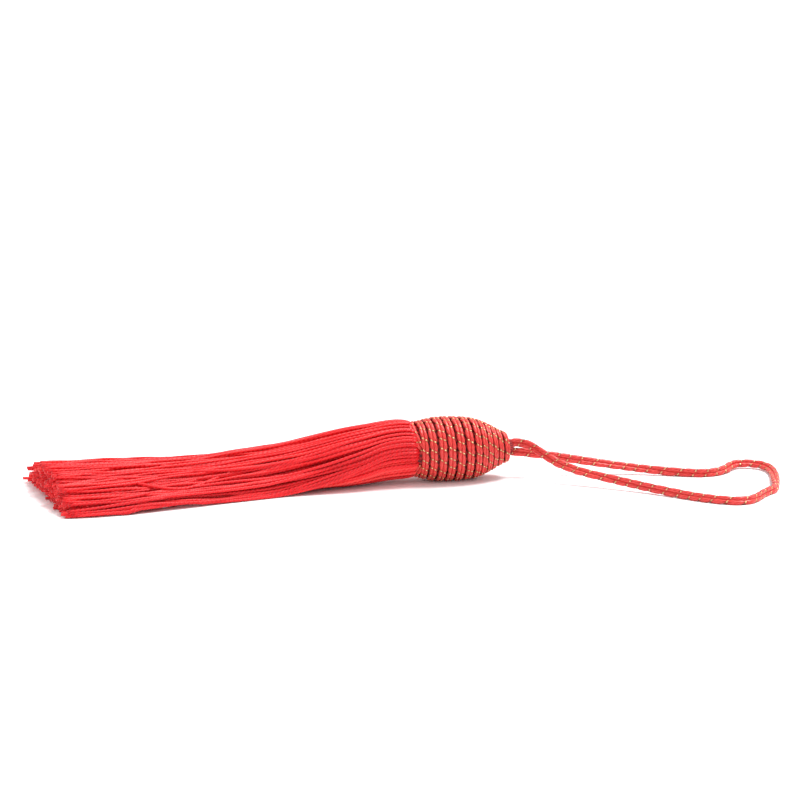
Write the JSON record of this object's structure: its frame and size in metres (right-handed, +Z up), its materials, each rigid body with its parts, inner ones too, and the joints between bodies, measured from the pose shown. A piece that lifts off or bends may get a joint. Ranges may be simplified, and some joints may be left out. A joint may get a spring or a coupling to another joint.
{
  "type": "silk tassel",
  "caption": "Silk tassel lying flat: a fanned skirt of red silk strands, an egg-shaped head wound with coral cord, and a hanging loop of the same cord.",
  "frame": {"origin": "middle of the skirt and head together, on the table they lie on", "axes": "+X from the skirt's cut end to the head's tip, +Z up from the table"},
  "size_m": [0.1941, 0.0694, 0.0165],
  "materials": {
    "red_silk": "soft silky sheen",
    "coral_cord": "satin, with a fine gold thread in the cord"
  },
  "bodies": {
    "root": {"skirt": "red_silk", "head_winding": "coral_cord", "hanging_loop": "coral_cord"}
  },
  "joints": []
}
